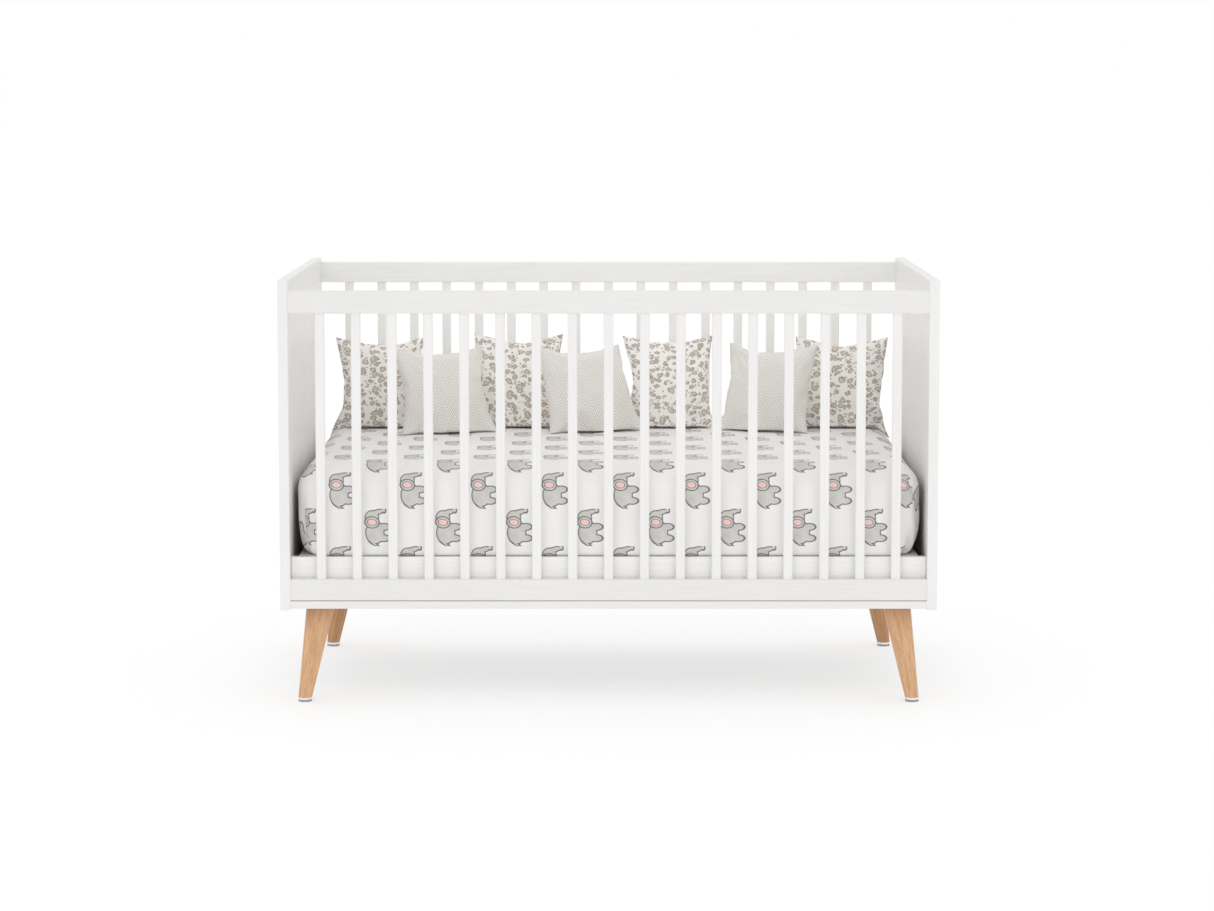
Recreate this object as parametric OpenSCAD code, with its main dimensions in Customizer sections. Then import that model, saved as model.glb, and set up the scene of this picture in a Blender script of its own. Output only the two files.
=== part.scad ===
// Baby crib with slatted sides, board end panels, splayed wooden legs,
// a height-adjustable mattress support, a mattress and loose cushions.
// Origin on the floor under the middle of the crib, X along its length, front at -Y.

/* [Body] */
// Clear length between the two end panels
inner_length = 1330; // [1320:1:1345]
// Depth of the end panels, front to back
panel_depth = 756; // [740:1:770]
// Thickness of the end panels
panel_thickness = 21; // [20:0.5:25]
// Height of the end panels' lower edge above the floor
panel_bottom = 207; // [200:1:215]
// Height of the end panels' upper edge above the floor
panel_top = 898; // [895:1:930]
// Radius of the eased edges of the end panels
panel_edge = 1.6; // [1:0.1:2.5]

/* [Rails] */
// Thickness of the rails, front to back
rail_thickness = 20; // [20:0.5:24]
// How far the rails stand back from the end panels' edges
rail_setback = 2; // [1:0.5:4]
// Radius of the rails' long edges
rail_edge = 2.5; // [1:0.1:4]
// Height of the top rails' section
top_rail_height = 47; // [40:1:50]
// Upper edge of the front top rail above the floor
front_rail_top = 876; // [870:1:880]
// Upper edge of the back top rail above the floor
back_rail_top = 889; // [880:1:892]
// Height of the bottom rails' section
bottom_rail_height = 45; // [38:1:48]

/* [Slats] */
// Number of slats in each side
slat_count = 17; // [15:1:19]
// Width of a slat along the crib
slat_width = 20; // [18:0.5:22]
// Thickness of a slat, front to back
slat_thickness = 12; // [10:0.5:13]
// Radius of a slat's edges
slat_edge = 3.6; // [2:0.1:4.5]
// Depth of a slat's seat in each rail
slat_seat = 10; // [8:0.5:14]

/* [Base and legs] */
// Thickness of the base board
base_thickness = 16; // [15:0.5:20]
// Height of the base board's underside above the floor
base_bottom = 210; // [208:1:218]
// Gap between the base board and the bottom rails
base_gap = 1; // [0.5:0.5:4]
// Distance of a front foot's centre from the crib's middle, along X
foot_x = 644.5; // [620:0.5:650]
// How much nearer the middle the back feet stand
back_feet_in = 4; // [0:0.5:8]
// Distance of a foot's centre from the crib's middle, along Y
foot_y = 306; // [280:1:310]
// Outward splay of the legs, in degrees
leg_splay = 9.9; // [6:0.1:12]
// Diameter of a leg at its top
leg_top_diameter = 59; // [50:1:62]
// Diameter of a leg at its foot
leg_foot_diameter = 28.5; // [26:0.5:34]
// Diameter of the plastic glide under each leg
glide_diameter = 30; // [26:0.5:32]

/* [Mattress] */
// Length of the mattress
mattress_length = 1300; // [1280:1:1305]
// Width of the mattress, front to back
mattress_width = 692; // [670:1:696]
// Height of the mattress
mattress_height = 193; // [150:1:200]
// Radius of the mattress's vertical corners
mattress_corner = 62; // [40:1:90]
// Radius of the mattress's upper and lower edges
mattress_edge = 26; // [15:1:40]
// Height of the mattress deck's upper face above the floor
deck_top = 316; // [310:1:330]

/* [Cushions] */
// Thickness of a cushion at its middle
cushion_thickness = 74; // [60:1:78]

/* [Hidden] */
half_length = inner_length / 2;
half_depth = panel_depth / 2;
outer_length = inner_length + 2 * panel_thickness;
clearance = 0.3;            // between pieces that move past each other
seat_play = 0.05;           // round a pin, bolt or tenon in its hole
sides = 48;                 // segments of a drawn circle

// rails and slats
rail_face = half_depth - rail_setback;                // outer face of a rail from the middle
rail_middle = rail_face - rail_thickness / 2;
rail_inner = rail_face - rail_thickness;
bottom_rail_low = base_bottom + base_thickness + base_gap;
bottom_rail_top = bottom_rail_low + bottom_rail_height;
slat_pitch = (inner_length + slat_width) / (slat_count + 1);
slat_low = bottom_rail_top - slat_seat;

// joining hardware of the frame
cap_radius = 7;
cap_depth = 1.2;
bolt_radius = 3;
bolt_head_radius = 6;
bolt_head_depth = 3;
hex_key_radius = 2;
bolt_length = 55;
bolt_head_low = half_length + panel_thickness - cap_depth - bolt_head_depth;
bolt_hole_end = bolt_head_low - bolt_length - 2;
barrel_radius = 5;
barrel_length = 14;
barrel_inset = 32;          // barrel nut from the end of the board it is in
dowel_radius = 3.5;
dowel_length = 28;
dowel_drop = 13;            // dowel below the bolt in a rail's end
base_bolt_rows = [-250, 0, 250];

// feet
glide_height = 5;
pad_height = 4;
pad_inset = 0.6;             // edge of the pad inside the glide's
foot_top = glide_height + pad_height;
plate_size = 80;
plate_thickness = 3;
plate_bottom = base_bottom - plate_thickness;
plate_screw_spacing = 62;
screw_radius = 2;
screw_length = 13;
screw_head_radius = 3.8;
screw_head_depth = 2.2;
hanger_radius = 4;
hanger_in_leg = 42;
hanger_above_plate = 8;

// mattress support
board_thickness = 18;
apron_gap = 2;              // behind the rails
apron_height = 62;
apron_length = inner_length - 1.4;
apron_outer = rail_inner - apron_gap;
apron_inner = apron_outer - board_thickness;
deck_length = 1300;
bracket_y = 250;
bracket_width = 44;
bracket_steel = 2.5;
bracket_reach = 48;
bracket_drop = 40;
level_count = 3;
level_pitch = 80;
level_z = deck_top - board_thickness - 26;            // axis of the lowest row of bolts
insert_radius = 4.5;
insert_length = 13;
level_head_depth = 3.3;

// bedding
mattress_low = deck_top + clearance;
mattress_top = mattress_low + mattress_height;
sheet_thickness = 1;
sheet_return = 70;          // how far the sheet reaches under the mattress
cushion_ear = 5;            // radius of a cushion's corner
cushion_gap = 0.8;          // above the mattress
// x, y, width, height, turn about Z and sideways lean of each cushion, from the left
cushions = [
    [-523, 306, 206, 204, 3, -1],
    [-374, 200, 212, 192, 14, -6],
    [-208, 306, 208, 212, -2, 1],
    [-47, 222, 206, 194, 14, -9],
    [138, 306, 208, 208, -2, -1],
    [364, 232, 208, 196, -14, 6],
    [535, 306, 212, 205, -3, 1],
];

function two_digits(i) = str(i < 10 ? "0" : "", i);
function slat_x(i) = (i - (slat_count + 1) / 2) * slat_pitch;
function leg_x(z) = foot_x - z * tan(leg_splay);

FRONT_SLATS = [for (i = [1:slat_count]) str("front_slat_", two_digits(i))];
CUSHIONS = [for (i = [1:len(cushions)]) str("cushion_", i)];

// ---- shared shapes ----

// A flat rectangle with round corners, its lowest corner at the origin
module rounded_rect(w, h, r) {
    translate([r, 0]) square([w - 2 * r, h]);
    translate([0, r]) square([w, h - 2 * r]);
    for (x = [r, w - r], y = [r, h - r])
        translate([x, y]) circle(r, $fn = sides);
}

// A bar along X, centred on X, with eased long edges
module bar(length, y, z, depth, height, r) {
    translate([-length / 2, y, z])
        rotate([90, 0, 90])
            linear_extrude(length)
                rounded_rect(depth, height, r);
}

// A hole or pin along X, starting at x
module rod_x(x, y, z, r, length) {
    translate([x, y, z])
        rotate([0, 90, 0])
            cylinder(r = r, h = length, $fn = sides);
}

// Copies at both ends of the crib, the second one mirrored
module both_ends() {
    children();
    mirror([1, 0, 0]) children();
}

// Copies at all four corners of the crib
module four_corners() {
    for (sx = [0, 1], sy = [0, 1])
        mirror([sx, 0, 0]) mirror([0, sy, 0]) children();
}

// Copies at the four legs, drawn for the front right leg but at +Y
module four_legs() {
    for (sx = [0, 1])
        mirror([sx, 0, 0]) {
            mirror([0, 1, 0]) children();
            translate([-back_feet_in, 0, 0]) children();
        }
}

// ---- frame ----

// The places where a bolt passes through an end panel into a rail: y and z
rail_joints = [
    [-rail_middle, front_rail_top - top_rail_height / 2 + dowel_drop / 2],
    [rail_middle, back_rail_top - top_rail_height / 2 + dowel_drop / 2],
    [-rail_middle, bottom_rail_low + bottom_rail_height / 2 + dowel_drop / 2],
    [rail_middle, bottom_rail_low + bottom_rail_height / 2 + dowel_drop / 2],
];
base_joints = [for (y = base_bolt_rows) [y, base_bottom + base_thickness / 2]];
bolt_places = concat(rail_joints, base_joints);
level_places = [for (y = [-bracket_y, bracket_y], k = [0:level_count - 1]) [y, level_z + k * level_pitch]];

module panel_body() {
    depth = panel_depth;
    height = panel_top - panel_bottom;
    intersection() {
        translate([0, -half_depth, panel_bottom])
            rotate([90, 0, 90])
                linear_extrude(panel_thickness)
                    rounded_rect(depth, height, panel_edge);
        translate([0, -half_depth, panel_bottom])
            linear_extrude(height)
                rounded_rect(panel_thickness, depth, panel_edge);
        translate([0, half_depth, panel_bottom])
            rotate([90, 0, 0])
                linear_extrude(depth)
                    rounded_rect(panel_thickness, height, panel_edge);
    }
}

module right_end_panel() {
    color("white")
        difference() {
            translate([half_length, 0, 0]) panel_body();
            for (p = bolt_places) {
                rod_x(half_length - 1, p.x, p.y, bolt_radius + seat_play, panel_thickness + 2);
                rod_x(bolt_head_low, p.x, p.y, cap_radius + seat_play, panel_thickness);
            }
            for (p = rail_joints)
                rod_x(half_length - 1, p.x, p.y - dowel_drop, dowel_radius + seat_play,
                    dowel_length / 2 + 1.2);
            for (p = level_places)
                rod_x(half_length - 1, p.x, p.y, insert_radius + seat_play, insert_length + 1.2);
        }
}

module left_end_panel() {
    mirror([1, 0, 0]) right_end_panel();
}

// A joint of a top rail, where the barrel nut goes in from below; in a bottom rail it goes
// in from the inner face
function in_top_rail(joint) = joint.y > front_rail_top / 2;

// Blind holes in both ends of a rail for its bolt, barrel nut and dowel
module rail_end_holes(joint) {
    both_ends() {
        rod_x(bolt_hole_end, joint.x, joint.y, bolt_radius + seat_play, bolt_length);
        rod_x(half_length - dowel_length / 2 - 0.2, joint.x, joint.y - dowel_drop,
            dowel_radius + seat_play, dowel_length);
        translate([half_length - barrel_inset, joint.x, joint.y])
            rotate([in_top_rail(joint) ? 180 : joint.x > 0 ? 90 : -90, 0, 0])
                translate([0, 0, -barrel_length / 2])
                    cylinder(r = barrel_radius + seat_play,
                        h = in_top_rail(joint) ? top_rail_height : rail_thickness, $fn = sides);
    }
}

module slat_pockets(y, z) {
    for (i = [1:slat_count])
        translate([slat_x(i) - slat_width / 2 - seat_play, y - slat_thickness / 2 - seat_play, z])
            linear_extrude(slat_seat + 1)
                rounded_rect(slat_width + 2 * seat_play, slat_thickness + 2 * seat_play, slat_edge);
}

module rail(side, low, height, joint, pocket_z) {
    color("white")
        difference() {
            bar(inner_length, side * rail_middle - rail_thickness / 2, low,
                rail_thickness, height, rail_edge);
            rail_end_holes(joint);
            slat_pockets(side * rail_middle, pocket_z);
        }
}

module front_top_rail() {
    low = front_rail_top - top_rail_height;
    rail(-1, low, top_rail_height, rail_joints[0], low - 1);
}

module back_top_rail() {
    low = back_rail_top - top_rail_height;
    rail(1, low, top_rail_height, rail_joints[1], low - 1);
}

module front_bottom_rail() {
    rail(-1, bottom_rail_low, bottom_rail_height, rail_joints[2], slat_low);
}

module back_bottom_rail() {
    rail(1, bottom_rail_low, bottom_rail_height, rail_joints[3], slat_low);
}

module slat(i, side, rail_top) {
    top = rail_top - top_rail_height + slat_seat;
    translate([slat_x(i) - slat_width / 2, side * rail_middle - slat_thickness / 2, slat_low])
        linear_extrude(top - slat_low)
            rounded_rect(slat_width, slat_thickness, slat_edge);
}

module front_slat(i) {
    color("white") slat(i, -1, front_rail_top);
}

module back_slats() {
    color("white")
        for (i = [1:slat_count])
            slat(i, 1, back_rail_top);
}

module base_board() {
    color("white")
        difference() {
            bar(inner_length, -rail_face, base_bottom, 2 * rail_face, base_thickness, 1.5);
            both_ends()
                for (p = base_joints) {
                    rod_x(bolt_hole_end, p.x, p.y, bolt_radius + seat_play, bolt_length);
                    translate([half_length - barrel_inset, p.x, p.y - base_thickness])
                        cylinder(r = barrel_radius + seat_play, h = base_thickness + barrel_length / 2,
                            $fn = sides);
                }
            four_legs() {
                translate([leg_x(base_bottom), foot_y, base_bottom - 1])
                    cylinder(r = hanger_radius + 3, h = hanger_above_plate + 4, $fn = sides);
                plate_screw_places(base_bottom - 1)
                    cylinder(r = screw_radius + seat_play, h = screw_length, $fn = sides);
            }
        }
}

module frame_bolts() {
    color("silver")
        both_ends()
            for (p = bolt_places)
                difference() {
                    union() {
                        rod_x(bolt_head_low, p.x, p.y, bolt_head_radius, bolt_head_depth);
                        rod_x(bolt_head_low - bolt_length, p.x, p.y, bolt_radius, bolt_length);
                    }
                    rod_x(bolt_head_low + 1, p.x, p.y, hex_key_radius, bolt_head_depth);
                }
}

module barrel_nut(length) {
    difference() {
        cylinder(r = barrel_radius, h = length, center = true, $fn = sides);
        rotate([0, 90, 0])
            cylinder(r = bolt_radius + seat_play, h = 3 * barrel_radius, center = true, $fn = sides);
    }
}

module barrel_nuts() {
    nut_x = half_length - barrel_inset;
    color("silver")
        both_ends() {
            for (p = rail_joints)
                translate([nut_x, p.x, p.y])
                    rotate([in_top_rail(p) ? 0 : 90, 0, 0])
                        barrel_nut(barrel_length);
            for (p = base_joints)
                translate([nut_x, p.x, p.y]) barrel_nut(barrel_length);
        }
}

module bolt_caps() {
    color("white")
        both_ends()
            for (p = bolt_places)
                rod_x(half_length + panel_thickness - cap_depth, p.x, p.y, cap_radius, cap_depth);
}

module dowels() {
    color("burlywood")
        both_ends()
            for (p = rail_joints)
                rod_x(half_length - dowel_length / 2, p.x, p.y - dowel_drop,
                    dowel_radius, dowel_length);
}

// ---- legs ----

// A rod along the leg's axis, between two heights above the floor
module leg_rod(low, high, r_low, r_high) {
    slope = cos(leg_splay);
    translate([leg_x(low), foot_y, low])
        rotate([0, -leg_splay, 0])
            cylinder(r1 = r_low, r2 = r_high, h = (high - low) / slope, $fn = sides);
}

module leg() {
    over = 12;              // drawn past both ends, then cut level by a block
    block = 4 * leg_top_diameter;
    taper = (leg_top_diameter - leg_foot_diameter) / 2 / (plate_bottom - foot_top);
    color("burlywood")
        difference() {
            intersection() {
                leg_rod(foot_top - over, plate_bottom + over,
                    leg_foot_diameter / 2 - taper * over, leg_top_diameter / 2 + taper * over);
                translate([foot_x - block / 2, foot_y - block / 2, foot_top])
                    cube([block, block, plate_bottom - foot_top]);
            }
            leg_rod(plate_bottom - hanger_in_leg - 1, plate_bottom + over,
                hanger_radius + seat_play, hanger_radius + seat_play);
        }
}

module front_right_leg() {
    mirror([0, 1, 0]) leg();
}

module front_left_leg() {
    mirror([1, 0, 0]) front_right_leg();
}

module back_right_leg() {
    translate([-back_feet_in, 0, 0]) leg();
}

module back_left_leg() {
    mirror([1, 0, 0]) back_right_leg();
}

module leg_glides() {
    chamfer = 1;
    color("whitesmoke")
        four_legs()
            translate([leg_x(foot_top), foot_y, pad_height])
                rotate_extrude($fn = sides)
                    polygon([
                        [0, 0],
                        [glide_diameter / 2 - chamfer, 0],
                        [glide_diameter / 2, chamfer],
                        [glide_diameter / 2, glide_height],
                        [0, glide_height],
                    ]);
}

module felt_pads() {
    color("gray")
        four_legs()
            translate([leg_x(foot_top), foot_y, 0])
                cylinder(r = glide_diameter / 2 - pad_inset, h = pad_height, $fn = sides);
}

module plate_screw_places(z) {
    reach = plate_screw_spacing / 2;
    for (dx = [-reach, reach], dy = [-reach, reach])
        translate([leg_x(plate_bottom) + dx, foot_y + dy, z]) children();
}

module leg_plates() {
    corner = 6;
    color("dimgray")
        four_legs()
            difference() {
                translate([leg_x(plate_bottom) - plate_size / 2, foot_y - plate_size / 2, plate_bottom])
                    linear_extrude(plate_thickness)
                        rounded_rect(plate_size, plate_size, corner);
                leg_rod(plate_bottom - 5, base_bottom + 5,
                    hanger_radius + seat_play, hanger_radius + seat_play);
                plate_screw_places(plate_bottom - 1)
                    cylinder(r = screw_radius + seat_play, h = plate_thickness + 2, $fn = sides);
            }
}

module hanger_bolts() {
    color("silver")
        four_legs()
            leg_rod(plate_bottom - hanger_in_leg, base_bottom + hanger_above_plate,
                hanger_radius, hanger_radius);
}

module plate_screws() {
    color("silver")
        four_legs()
            plate_screw_places(plate_bottom) {
                translate([0, 0, -screw_head_depth])
                    cylinder(r1 = screw_head_radius - 1, r2 = screw_head_radius,
                        h = screw_head_depth, $fn = sides);
                cylinder(r = screw_radius, h = screw_length, $fn = sides);
            }
}

// ---- mattress support ----

module level_inserts() {
    color("darkgoldenrod")
        both_ends()
            for (p = level_places)
                difference() {
                    rod_x(half_length, p.x, p.y, insert_radius, insert_length);
                    rod_x(half_length - 1, p.x, p.y, bolt_radius + seat_play, insert_length + 2);
                }
}

module level_bolts() {
    flange_face = half_length - clearance - bracket_steel;
    head_x = flange_face - clearance - level_head_depth;
    shank = half_length + insert_length - 1 - head_x;
    color("silver")
        both_ends()
            for (y = [-bracket_y, bracket_y])
                difference() {
                    union() {
                        rod_x(head_x, y, level_z, bolt_head_radius, level_head_depth);
                        rod_x(head_x, y, level_z, bolt_radius, shank);
                    }
                    rod_x(head_x - 1, y, level_z, hex_key_radius, bolt_head_depth);
                }
}

module mattress_deck() {
    low = deck_top - board_thickness;
    color("lightgray")
        difference() {
            bar(deck_length, -apron_inner, low, 2 * apron_inner, board_thickness, 1);
            bracket_screw_places(low - 1)
                cylinder(r = screw_radius + seat_play, h = screw_length, $fn = sides);
        }
}

module apron(side) {
    color("white")
        bar(apron_length, side * (apron_outer + apron_inner) / 2 - board_thickness / 2,
            deck_top - apron_height, board_thickness, apron_height, 1.5);
}

module front_apron() {
    apron(-1);
}

module back_apron() {
    apron(1);
}

module bracket_screw_places(z) {
    four_corners()
        for (dy = [-12, 12])
            translate([half_length - bracket_reach + 12, bracket_y + dy, z]) children();
}

// An angle of steel under the deck's end, with an open-ended slot that drops over its bolt
module support_brackets() {
    flange_x = half_length - clearance - bracket_steel;
    top = deck_top - board_thickness;
    slot_radius = bolt_radius + clearance;
    color("silver")
        difference() {
            four_corners() {
                translate([half_length - bracket_reach, bracket_y - bracket_width / 2, top - bracket_steel])
                    cube([bracket_reach - clearance, bracket_width, bracket_steel]);
                translate([flange_x, bracket_y - bracket_width / 2, top - bracket_drop])
                    cube([bracket_steel, bracket_width, bracket_drop]);
            }
            four_corners() {
                rod_x(flange_x - 1, bracket_y, level_z, slot_radius, bracket_steel + 2);
                translate([flange_x - 1, bracket_y - slot_radius, top - bracket_drop - 1])
                    cube([bracket_steel + 2, 2 * slot_radius, level_z - top + bracket_drop + 1]);
            }
            bracket_screw_places(top - bracket_steel - 1)
                cylinder(r = screw_radius + seat_play, h = bracket_steel + 2, $fn = sides);
        }
}

module bracket_screws() {
    color("silver")
        bracket_screw_places(deck_top - board_thickness - bracket_steel) {
            translate([0, 0, -screw_head_depth])
                cylinder(r1 = screw_head_radius - 1, r2 = screw_head_radius,
                    h = screw_head_depth, $fn = sides);
            cylinder(r = screw_radius, h = screw_length, $fn = sides);
        }
}

// ---- bedding ----

// A block with round vertical corners and rolled upper and lower edges
module soft_block(length, width, low, high, corner, edge) {
    hull()
        for (x = [-1, 1], y = [-1, 1])
            translate([x * (length / 2 - corner), y * (width / 2 - corner), 0])
                for (z = [low + edge, high - edge])
                    translate([0, 0, z])
                        rotate_extrude($fn = 32)
                            translate([corner - edge, 0]) circle(edge, $fn = 20);
}

module mattress() {
    color("ivory")
        soft_block(mattress_length - 2 * sheet_thickness, mattress_width - 2 * sheet_thickness,
            mattress_low + sheet_thickness, mattress_top - sheet_thickness,
            mattress_corner - sheet_thickness, mattress_edge - sheet_thickness);
}

// A skin round the mattress, open below except for its return under the edges
module fitted_sheet() {
    inset = sheet_thickness - seat_play;
    open_length = mattress_length - 2 * sheet_return;
    open_width = mattress_width - 2 * sheet_return;
    color("white")
        difference() {
            soft_block(mattress_length, mattress_width, mattress_low, mattress_top,
                mattress_corner, mattress_edge);
            soft_block(mattress_length - 2 * inset, mattress_width - 2 * inset,
                mattress_low + inset, mattress_top - inset,
                mattress_corner - inset, mattress_edge - inset);
            translate([-open_length / 2, -open_width / 2, mattress_low - 1])
                linear_extrude(sheet_thickness + 2)
                    rounded_rect(open_length, open_width, mattress_edge);
        }
}

// A cushion standing on edge: thin at its corners, thick in its middle, leaning sideways
module cushion(i) {
    c = cushions[i - 1];
    width = c[2];
    height = c[3];
    sway = tan(c[5]);
    belly = 0.86;           // of the outline, where the cushion is thickest
    tone = i % 2 == 1 ? "tan" : "linen";
    color(tone)
        translate([c[0], c[1], mattress_top + cushion_gap + height / 2])
            rotate([0, 0, c[4]])
                hull() {
                    for (x = [-1, 1], z = [-1, 1]) {
                        corner_z = z * (height / 2 - cushion_ear);
                        translate([x * (width / 2 - cushion_ear) + corner_z * sway, 0, corner_z])
                            sphere(cushion_ear, $fn = 16);
                    }
                    scale([belly * width / 2, cushion_thickness / 2, belly * height / 2])
                        sphere(1, $fn = 32);
                }
}

// ---- assembly ----

left_end_panel();
right_end_panel();
front_top_rail();
front_bottom_rail();
back_top_rail();
back_bottom_rail();
back_slats();
base_board();
front_left_leg();
front_right_leg();
back_left_leg();
back_right_leg();
leg_glides();
felt_pads();
leg_plates();
hanger_bolts();
plate_screws();
frame_bolts();
barrel_nuts();
bolt_caps();
dowels();
level_inserts();
level_bolts();
mattress_deck();
front_apron();
back_apron();
support_brackets();
bracket_screws();
mattress();
fitted_sheet();
for (i = [1:slat_count])
    front_slat(i);
for (i = [1:len(cushions)])
    cushion(i);
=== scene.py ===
"""Baby crib: finishes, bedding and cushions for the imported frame.

Everything is in metres, in the frame's own axes: the floor is z = 0, the crib's middle is x = y = 0,
and its front faces -Y.
"""
import math

import bmesh
import bpy
from mathutils import Matrix, Vector, noise


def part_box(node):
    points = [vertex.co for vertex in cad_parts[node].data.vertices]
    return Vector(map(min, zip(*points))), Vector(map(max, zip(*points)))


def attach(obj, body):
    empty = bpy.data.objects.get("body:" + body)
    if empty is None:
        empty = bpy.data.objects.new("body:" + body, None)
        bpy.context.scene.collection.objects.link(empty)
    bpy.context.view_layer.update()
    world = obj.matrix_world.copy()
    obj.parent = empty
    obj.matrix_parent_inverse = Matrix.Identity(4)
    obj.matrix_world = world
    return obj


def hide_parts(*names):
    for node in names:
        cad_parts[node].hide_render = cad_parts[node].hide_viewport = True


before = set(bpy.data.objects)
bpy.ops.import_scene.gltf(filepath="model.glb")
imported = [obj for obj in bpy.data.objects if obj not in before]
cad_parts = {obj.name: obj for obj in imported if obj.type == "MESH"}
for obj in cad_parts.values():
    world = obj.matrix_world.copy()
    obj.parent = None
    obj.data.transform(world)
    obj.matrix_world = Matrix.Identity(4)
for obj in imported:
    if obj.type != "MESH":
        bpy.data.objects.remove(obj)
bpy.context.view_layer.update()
scene = bpy.context.scene

MM = 0.001

# ---- camera ----

CAMERA_PLACE = (-0.0033, -6.5472, 1.3349)
CAMERA_TILT = 5.543             # degrees below the horizon
CAMERA_LENS = 88.68
CAMERA_SHIFT = -0.08


def make_camera():
    """A long lens in front of the crib, a little above it and tilted down."""
    lens = bpy.data.cameras.new("camera")
    lens.sensor_width = 36
    lens.lens = CAMERA_LENS
    lens.shift_y = CAMERA_SHIFT
    lens.clip_end = 200
    camera = bpy.data.objects.new("camera", lens)
    camera.location = CAMERA_PLACE
    camera.rotation_euler = (math.radians(90 - CAMERA_TILT), 0, 0)
    scene.collection.objects.link(camera)
    scene.camera = camera


# ---- nodes ----

class Nodes:
    """Adds nodes to one material, world or light, and links their first output on."""

    def __init__(self, owner):
        owner.use_nodes = True
        self.tree = owner.node_tree

    def add(self, kind, values=(), named=(), out=0, **settings):
        """A node of that kind with its settings; values fill its inputs in order, named by name."""
        node = self.tree.nodes.new("ShaderNode" + kind)
        for key, value in settings.items():
            setattr(node, key, value)
        pairs = [(node.inputs[i], value) for i, value in enumerate(values)]
        pairs += [(node.inputs[key], value) for key, value in dict(named).items()]
        for socket, value in pairs:
            self.put(socket, value)
        return node.outputs[out]

    def put(self, socket, value):
        """Links an output to a socket, or sets the socket's own value."""
        if isinstance(value, bpy.types.NodeSocket):
            self.tree.links.new(value, socket)
        elif value is not None:
            socket.default_value = value

    def math(self, operation, *values):
        return self.add("Math", values, operation=operation)

    def vector(self, operation, *values):
        return self.add("VectorMath", values, operation=operation)

    def length(self, vector):
        return self.add("VectorMath", [vector], operation="LENGTH", out="Value")

    def object_place(self):
        """The point in the object's own axes, which are the frame's at rest."""
        return self.add("TexCoord", out="Object")

    def cloth_place(self):
        """The point on the flat cloth, in metres, from the UV map."""
        return self.add("TexCoord", out="UV")

    def parts(self, vector):
        """The x, y and z of a vector."""
        split = self.add("SeparateXYZ", [vector]).node
        return split.outputs[0], split.outputs[1], split.outputs[2]

    def join(self, x, y, z=0.0):
        return self.add("CombineXYZ", [x, y, z])

    def stretch(self, vector, x, y, z):
        return self.vector("MULTIPLY", vector, (x, y, z))

    def noise(self, vector, scale, detail=2.0, roughness=0.5, out="Fac"):
        named = {"Vector": vector, "Scale": scale, "Detail": detail, "Roughness": roughness}
        return self.add("TexNoise", named=named, out=out)

    def ramp(self, value, low, high, to_low=0.0, to_high=1.0, smooth=True):
        """value from low to high becomes to_low to to_high, and stays there beyond."""
        kind = "SMOOTHSTEP" if smooth else "LINEAR"
        return self.add("MapRange", [value, low, high, to_low, to_high], interpolation_type=kind)

    def mix(self, share, first, second):
        """The second colour over the first, by share."""
        node = self.add("Mix", data_type="RGBA").node
        for socket, value in ((node.inputs[0], share), (node.inputs[6], first), (node.inputs[7], second)):
            self.put(socket, value)
        return node.outputs[2]

    def bump(self, height, depth):
        """A normal from a height of 0 to 1, which stands for that depth in metres."""
        return self.add("Bump", named={"Height": height, "Distance": depth, "Strength": 1.0})


def rgb(red, green, blue):
    """A colour given as on a screen, from 0 to 255, as the linear values that shaders take."""
    def linear(value):
        value /= 255
        return value / 12.92 if value <= 0.04045 else ((value + 0.055) / 1.055) ** 2.4
    return (linear(red), linear(green), linear(blue), 1.0)


class Finish(Nodes):
    """A material with one Principled shader."""

    def __init__(self, name, roughness=0.5, **constants):
        self.material = bpy.data.materials.new(name)
        super().__init__(self.material)
        self.shader = self.tree.nodes["Principled BSDF"]
        self.set(Roughness=roughness)
        self.set(**constants)

    def set(self, **values):
        """Sets or links the shader's sockets; an underscore stands for a space."""
        for key, value in values.items():
            self.put(self.shader.inputs[key.replace("_", " ")], value)


# ---- stage ----

FLOOR_REACH = 60
FLOOR_WHITE = 0.57              # how much light the floor throws back
FLOOR_GLOW = 0.46               # the part of its white that no shadow takes away
FLOOR_PAINTED_SHADOW = 0.085               # how much less of that there is under the crib, as a painted shadow
PAINTED_SHADOW_MIDDLE = 0.02               # how far behind the origin the painted shadow's middle is
PAINTED_SHADOW_LENGTH = (0.5, 0.85)        # where it starts to fade along X, and where it has gone
PAINTED_SHADOW_DEPTH = (0.04, 0.4)         # the same along Y
HORIZON_LIGHT = 0.98
ZENITH_LIGHT = 0.96


def make_floor():
    """A wide white floor that takes only a faint shadow, and a painted shadow that makes it a little dimmer
    under the crib.
    """
    mesh = bpy.data.meshes.new("floor")
    corners = [(-1, -1), (1, -1), (1, 1), (-1, 1)]
    mesh.from_pydata([(x * FLOOR_REACH, y * FLOOR_REACH, 0) for x, y in corners], [], [(0, 1, 2, 3)])
    floor = bpy.data.objects.new("floor", mesh)
    scene.collection.objects.link(floor)
    material = bpy.data.materials.new("floor_white")
    n = Nodes(material)
    n.tree.nodes.remove(n.tree.nodes["Principled BSDF"])
    lit = n.add("BsdfDiffuse", named={"Color": (FLOOR_WHITE, FLOOR_WHITE, FLOOR_WHITE, 1)})
    x, y, _ = n.parts(n.object_place())
    # painted shadow: the glow is turned down in an oval under the crib
    along = n.ramp(n.math("ABSOLUTE", x), *PAINTED_SHADOW_LENGTH, 1.0, 0.0)
    across = n.ramp(n.math("ABSOLUTE", n.math("SUBTRACT", y, PAINTED_SHADOW_MIDDLE)), *PAINTED_SHADOW_DEPTH, FLOOR_PAINTED_SHADOW, 0.0)
    strength = n.math("SUBTRACT", FLOOR_GLOW, n.math("MULTIPLY", along, across))
    glow = n.add("Emission", named={"Color": (1, 1, 1, 1), "Strength": strength})
    n.put(n.tree.nodes["Material Output"].inputs["Surface"], n.add("AddShader", [lit, glow]))
    mesh.materials.append(material)


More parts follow.
